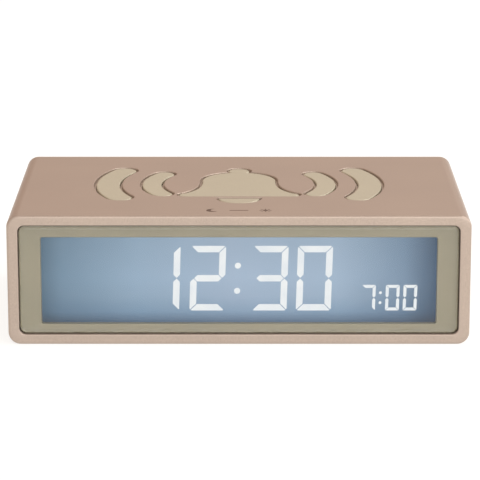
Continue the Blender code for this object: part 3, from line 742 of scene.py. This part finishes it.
def sun_outlines(centre, size):
    """A disc with eight rays, within a circle of the given radius."""
    disc, ray_start, ray_half_width = 0.42 * size, 0.6 * size, 0.09 * size
    rays = 8
    outlines = [arc(centre, disc, 0, 360, 28)[:-1]]
    for ray in range(rays):
        turn = math.tau * ray / rays
        along = Vector((math.cos(turn), math.sin(turn)))
        side = Vector((-along.y, along.x)) * ray_half_width
        inner = Vector(centre) + along * ray_start
        outer = Vector(centre) + along * size
        corners = (inner - side, outer - side, outer + side, inner + side)
        outlines.append([tuple(corner) for corner in corners])
    return outlines


def moon_outline(centre, size):
    """A crescent open to the upper right."""
    bite_centre = (centre[0] + 0.5 * size, centre[1] + 0.15 * size)
    return moon(0.0, centre, size, bite_centre, 0.8 * size, 28)


def face_icons(material):
    """A moon and a sun in front of the bell: tap to snooze, tap for light."""
    z = SLEEVE_HIGH.z
    span = (z - 0.02 * MM, z + 0.015 * MM)
    row = -21.7 * MM
    reach = 5.0 * MM
    size = 1.15 * MM
    outlines = [moon_outline((-reach, row), size), pill(1.8 * MM, 0.16 * MM, (0, row), 8)]
    outlines += sun_outlines((reach, row), size)
    piece = loft("face_icons", [[level(outline, height) for height in span] for outline in outlines])
    finish_piece(piece, material, "sleeve_finish")


# Back

def softened(node, width, material, body="root"):
    """A CAD node's shape with its facets joined and its edges rounded."""
    source = frame["nodes"][node]
    shape = bmesh.new()
    shape.from_mesh(source.data)
    shape.transform(source.matrix_world)
    bmesh.ops.remove_doubles(shape, verts=shape.verts, dist=0.002 * MM)
    flat = math.radians(1.0)
    bmesh.ops.dissolve_limit(shape, angle_limit=flat, verts=shape.verts, edges=shape.edges)
    piece = new_piece(node + "_shell", shape)
    bevel = piece.modifiers.new("Round edges", "BEVEL")
    bevel.width = width
    bevel.segments = 3
    bevel.limit_method = "ANGLE"
    bevel.angle_limit = math.radians(50)
    bevel.harden_normals = True
    bake_modifiers(piece)
    finish_piece(piece, material, "back_finish", node, body=body)


def rear_rings(half_u, half_v, centre, face, edge, low):
    """Rings of a round-ended cap: its foot and its rounded edge."""
    rings = [upright(pill(half_u, half_v, centre), low)]
    for inset, drop in quarter(edge):
        rings.append(upright(pill(half_u - inset, half_v - inset, centre), face - drop))
    return rings


def push_button(name, material):
    """A round-ended cap on its flange and stem."""
    node = name + "_button"
    low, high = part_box(node)
    centre = ((low.x + high.x) / 2, (low.z + high.z) / 2)
    flange = ((high.x - low.x) / 2, (high.z - low.z) / 2)
    flange_front = low.y + 0.5 * MM
    flange_back = flange_front + 0.9 * MM
    stem = MM
    almost_round = 0.999
    ledge_u, ledge_v, edge = mm(0.5, 0.4, 0.55)
    rings = [upright(pill(stem, stem * almost_round, centre), y) for y in (low.y, flange_front)]
    rings += [upright(pill(*flange, centre), y) for y in (flange_front, flange_back)]
    rings += rear_rings(flange[0] - ledge_u, flange[1] - ledge_v, centre, high.y, edge, flange_back)
    piece = loft(name + "_cap", [rings])
    weight_normals(piece)
    finish_piece(piece, material, "control_finish", node, body=node)


def scaled(outline, scale, lift):
    """An outline made smaller or larger about its origin, then raised."""
    return [(u * scale, v * scale + lift) for u, v in outline]


def bar(centre, half_u, half_v, turn=0.0):
    """A rectangle turned about its centre, in degrees."""
    along = Vector((math.cos(math.radians(turn)), math.sin(math.radians(turn))))
    across = Vector((-along.y, along.x))
    corners = ((-1, -1), (1, -1), (1, 1), (-1, 1))
    return [tuple(Vector(centre) + along * half_u * a + across * half_v * b) for a, b in corners]


def button_sign(name):
    """A button's sign: its filled outlines, and its bands as pairs of an outer and an inner outline."""
    radius, line, reach = mm(1.15, 0.13, 0.95)
    level_bar = bar((0, 0), reach, 1.3 * line)
    if name == "time_set":
        rim = [arc((0, 0), size, 0, 360, 40)[:-1] for size in (radius, radius - 2 * line)]
        return [bar(mm(0, 0.36), line, 0.42 * MM), bar(mm(0.22, 0), 0.34 * MM, line)], [rim]
    if name == "alarm_set":
        return [scaled(part_of(0.0), 0.1, 0.12 * MM) for part_of in (bell, clapper)], []
    if name == "plus":
        return [level_bar, bar((0, 0), 1.3 * line, reach)], []
    return [level_bar], []


def button_icon(name, material):
    """The printed sign of a button, seen from behind the clock."""
    low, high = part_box(name + "_button")
    middle_x, middle_z = (low.x + high.x) / 2, (low.z + high.z) / 2
    back, front = high.y - 0.02 * MM, high.y + 0.015 * MM

    def behind(outline, y):
        return [(middle_x - u, y, middle_z + v) for u, v in outline]

    shape = bmesh.new()
    outlines, bands = button_sign(name)
    for outline in outlines:
        add_loft(shape, [behind(outline, back), behind(outline, front)])
    for outer, inner in bands:
        order = ((outer, back), (outer, front), (inner, front), (inner, back))
        add_loft(shape, [behind(outline, y) for outline, y in order], capped=False)
    finish_piece(new_piece(name + "_icon", shape), material, "control_finish", body=name + "_button")


def slide_knob(material):
    """A thumb piece with three grip ridges on a narrower post."""
    node = "slide_switch_knob"
    low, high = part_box(node)
    middle_z = (low.z + high.z) / 2
    foot = high.y - 3.5 * MM
    ridge, depth = mm(0.5, 0.35)
    valley = high.y - depth
    pitch, half_foot, half_crest = 1.7 * ridge, 0.55 * ridge, 0.3 * ridge
    outline = [(low.z, foot), (low.z, valley)]
    for number in (-1, 0, 1):
        middle = middle_z + number * pitch
        outline += [(middle - half_foot, valley), (middle - half_crest, high.y)]
        outline += [(middle + half_crest, high.y), (middle + half_foot, valley)]
    outline += [(high.z, valley), (high.z, foot)]
    outline = soften(outline, 0.06 * MM, 2)
    thumb = [[(x, y, z) for z, y in outline] for x in (low.x, high.x)]
    centre = ((low.x + high.x) / 2, middle_z)
    post_half = mm(0.6, 1.2)
    post = rounded_rectangle(*post_half, 0.15 * MM, centre, 4)
    piece = loft("slide_knob_grip", [thumb, [upright(post, y) for y in (low.y, foot + 0.5 * MM)]])
    finish_piece(piece, material, "control_finish", node, body="slide_knob")


def rear_screw(place, material):
    """A round-headed screw with a cross recess."""
    node = "rear_screw_" + place
    low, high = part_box(node)
    centre = ((low.x + high.x) / 2, (low.z + high.z) / 2)
    radius = (high.x - low.x) / 2
    shank, rounding = 0.54, 0.22
    head, crown = mm(0.9, 0.35)
    neck = high.y - head
    profile = [(shank, low.y), (shank, neck), (1.0, neck), (1.0, high.y - crown)]
    for angle in (0.35, 0.7, 1.05, 1.4):
        profile.append((1 - rounding * math.sin(angle), high.y - crown * (1 - angle / 1.4)))
    rings = [upright(arc(centre, radius * share, 0, 360, 32)[:-1], y) for share, y in profile]
    piece = loft(node + "_head", [rings])
    recess, outside = mm(0.55, 0.1)
    tools = []
    for number, turn in enumerate((20, 110)):
        blade = bar(centre, 0.62 * radius, 0.17 * radius, turn)
        floor = bar(centre, 0.25 * radius, 0.10 * radius, turn)
        levels = [upright(floor, high.y - recess), upright(blade, high.y + outside)]
        tools.append(loft(f"{node}_recess_{number}", [levels]))
    carve(piece, *tools)
    finish_piece(piece, material, "plated_steel", node)


def door_grip(material):
    """Ridges for a fingertip below the latch of the battery door, each shorter than the one above."""
    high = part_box("battery_door")[1]
    latch_x, first, pitch, longest = mm(-15.0, 2.6, 0.75, 2.9)
    half_width, proud, edge, root, shorter = mm(0.2, 0.16, 0.14, 0.1, 0.35)
    rows = []
    for number in range(4):
        centre = (latch_x, high.z - first - pitch * number)
        half_length = longest - shorter * number
        rows.append(rear_rings(half_length, half_width, centre, high.y + proud, edge, high.y - root))
    piece = loft("door_grip", rows)
    finish_piece(piece, material, "back_finish", body="battery_door")


def door_ribs(material):
    """Stiffening ribs on the inner face of the battery door."""
    low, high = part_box("battery_door")
    middle = (low.x + high.x) / 2
    half_length, half_width, height = mm(19.0, 0.4, 0.45)
    crest = half_width / 2
    rows = []
    for z in mm(10.2, 12.9, 15.6):
        foot = pill(half_length, half_width, (middle, z), 8)
        top = pill(half_length - crest, half_width - crest, (middle, z), 8)
        shoulder = low.y - height + crest
        rows.append([upright(foot, low.y + crest), upright(foot, shoulder), upright(top, low.y - height)])
    piece = loft("door_ribs", rows)
    finish_piece(piece, material, "back_finish", body="battery_door")


def cell(node, nub_at_low):
    """A battery cell with its crimped shoulder and its nub."""
    low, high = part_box(node)
    centre = ((low.y + high.y) / 2, (low.z + high.z) / 2)
    start, end, step = (low.x, high.x, MM) if nub_at_low else (high.x, low.x, -MM)
    nub, body = 1.9, 5.2
    crimp = ((0.92, 3.6), (1.1, 3.8), (1.12, 4.3), (0.95, 4.6), (1.1, 5.0))
    from_start = ((0.0, 1.6), (0.2, nub), (0.9, nub), *crimp, (1.5, body))
    from_end = ((0.5, body), (0.1, 5.0), (0.0, 4.6))
    profile = [(start + depth * step, radius) for depth, radius in from_start]
    profile += [(end - depth * step, radius) for depth, radius in from_end]
    rings = [[(x, y, z) for y, z in arc(centre, radius * MM, 0, 360, 48)[:-1]] for x, radius in profile]
    piece = loft(node + "_sleeve", [rings])
    finish_piece(piece, cell_label(start, end), "cell_can", node)


def spring(node, cell_node, wide_at_high, material):
    """A conical coil of round wire that presses on a cell, wide where it stands on its contact."""
    low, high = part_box(node)
    axis = sum(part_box(cell_node), Vector()) / 2
    wire, wide, narrow = mm(0.3, 3.6, 2.4)
    ends = (high.x - wire, low.x + wire) if wide_at_high else (low.x + wire, high.x - wire)
    turns = 3
    steps = 40 * turns
    nudge = 0.001

    def place(share):
        turn = math.tau * turns * share
        radius = mix(wide, narrow, share)
        y, z = axis.y + radius * math.cos(turn), axis.z + radius * math.sin(turn)
        return Vector((mix(*ends, share), y, z))

    rings = []
    for step in range(steps + 1):
        share = step / steps
        middle = place(share)
        along = (place(share + nudge) - place(share - nudge)).normalized()
        across = along.cross(middle - Vector((middle.x, axis.y, axis.z))).normalized()
        outward = across.cross(along)
        circle = arc((0, 0), wire, 0, 360, 12)[:-1]
        rings.append([middle + outward * u + across * v for u, v in circle])
    piece = loft(node + "_coil", [rings])
    finish_piece(piece, material, "plated_steel", node)


def back(paint, champagne, ink, steel):
    """The rear panel and all that shows on it or behind the battery door."""
    softened("rear_panel", 0.12 * MM, paint)
    softened("battery_door", 0.15 * MM, paint, body="battery_door")
    door_grip(paint)
    door_ribs(paint)
    for name in ("time_set", "alarm_set", "plus", "minus"):
        push_button(name, champagne)
        button_icon(name, ink)
    slide_knob(champagne)
    for place in ("lower_left", "upper_left", "lower_right", "upper_right"):
        rear_screw(place, steel)
    cell("battery_front", True)
    cell("battery_rear", False)
    spring("battery_spring_front", "battery_front", True, steel)
    spring("battery_spring_rear", "battery_rear", False, steel)


# Stage

def room():
    """Light from all round, bright in front and warm and dim behind; the camera sees a pale backdrop."""
    world = bpy.data.worlds.new("room")
    world.use_nodes = True
    nodes = Nodes(world.node_tree)
    turn = (0, 0, math.radians(-32))
    heading = nodes.add("ShaderNodeTexCoord").outputs["Generated"]
    turned = nodes.add("ShaderNodeMapping", Vector=heading, Rotation=turn).outputs["Vector"]
    depth = nodes.add("ShaderNodeSeparateXYZ", Vector=turned).outputs["Y"]
    walls = nodes.ramp(nodes.remap(depth, -1, 1, 0, 1), (
        (0.0, (0.92, 0.92, 0.91, 1)),
        (1.0, (0.605, 0.436, 0.340, 1)),
    ))
    light = nodes.add("ShaderNodeBackground", Color=walls)
    backdrop = nodes.add("ShaderNodeBackground", Color=(1.0, 1.0, 0.99, 1))
    seen = nodes.add("ShaderNodeLightPath").outputs["Is Camera Ray"]
    both = nodes.add("ShaderNodeMixShader", Fac=seen)
    nodes.put(both, 1, light.outputs["Background"])
    nodes.put(both, 2, backdrop.outputs["Background"])
    nodes.put(nodes.tree.nodes["World Output"], "Surface", both.outputs["Shader"])
    bpy.context.scene.world = world


def ground():
    """A plain pale floor."""
    shape = bmesh.new()
    bmesh.ops.create_grid(shape, x_segments=1, y_segments=1, size=6.0)
    floor = new_piece("floor", shape)
    floor.location.z = SLEEVE_LOW.z - 0.05 * MM
    look = Look("floor", Base_Color=(0.30, 0.30, 0.295, 1), Roughness=0.9, Specular_IOR_Level=0.0)
    look.shader.inputs["Emission Color"].default_value = (1.0, 1.0, 0.985, 1)
    look.shader.inputs["Emission Strength"].default_value = 0.78
    floor.data.materials.append(look.material)


def lamps():
    """Soft square lamps, each with its place, width and power, aimed at the middle of the clock."""
    target = Vector((0, 0, MIDDLE))
    plan = (
        ("key", (0.14, -0.56, 0.26), 0.60, 1.5),
        ("side", (0.40, 0.02, 0.30), 0.55, 1.4),
        ("back", (0.10, 0.70, 0.55), 0.60, 0.3),
    )
    for name, place, width, power in plan:
        data = bpy.data.lights.new(name, "AREA")
        data.size = width
        data.energy = power
        lamp = bpy.data.objects.new(name, data)
        lamp.location = place
        lamp.rotation_euler = (target - Vector(place)).to_track_quat("-Z", "Y").to_euler()
        bpy.context.scene.collection.objects.link(lamp)


def camera():
    """A long lens in front of the clock, looking slightly down on it."""
    downwards = 14.17
    data = bpy.data.cameras.new("camera")
    data.sensor_width = 36.0
    data.lens = 193.7
    data.clip_start = 0.01
    lookout = bpy.data.objects.new("camera", data)
    lookout.location = (0.0002, -0.494, 0.1385)
    lookout.rotation_euler = (math.radians(90 - downwards), 0, 0)
    bpy.context.scene.collection.objects.link(lookout)
    bpy.context.scene.camera = lookout
    bpy.context.scene.view_settings.view_transform = "Standard"


def carried_over(steel):
    """Give the CAD nodes that still show their materials."""
    looks = {
        "frame_plastic": moulded("frame_plastic", colour(214, 214, 208)),
        "black_plastic": moulded("black_plastic", colour(34, 34, 37), 0.45),
        "white_plastic": moulded("white_plastic", colour(234, 234, 230)),
        "conducting_rubber": striped_rubber(),
        "circuit_board": circuit_board(),
        "plated_steel": steel,
        "copper_film": plated("copper_foil", colour(198, 124, 84)),
        "brass_disc": plated("brass_disc", colour(200, 168, 98)),
        "light_plastic": moulded("light_plastic", colour(226, 232, 238), 0.2),
        "red_wire": moulded("red_insulation", colour(170, 34, 28), 0.4),
        "black_wire": moulded("black_insulation", colour(28, 28, 30), 0.4),
        "ribbon": ribbed_cable(),
        "display_glass": moulded("display_glass", colour(120, 138, 156), 0.2),
        "polarizer_film": display_glow(),
    }
    for part in frame["record"]["subparts"]:
        node = frame["nodes"][part["node"]]
        look = looks.get(part["material_slot"])
        if look is not None and not node.hide_render:
            node.material_slots[0].link = "OBJECT"
            node.material_slots[0].material = look


def build():
    """Every piece with its material, then the camera, the floor, the room and the lamps."""
    champagne = satin("champagne_satin", colour(200, 195, 173), 0.38, 0.55, 0.03)
    sleeve(satin("pink_gold_satin", colour(181, 163, 149)))
    for side, outline_of in SYMBOLS.items():
        symbol_plate(side, outline_of, champagne)
    # The bezel is the champagne satin made darker: painted shade for the light it loses behind the lens.
    bezel(satin("bezel_painted_shade_satin", colour(148, 138, 113), 0.45, 0.3, 0.02))
    lens(clear_plastic())
    digits(digit_glow())
    ink = moulded("icon_ink", colour(96, 74, 60), 0.6)
    face_icons(ink)
    steel = plated("plated_steel", colour(196, 198, 202))
    back(satin("back_satin", colour(179, 161, 147)), champagne, ink, steel)
    carried_over(steel)
    camera()
    ground()
    room()
    lamps()


build()
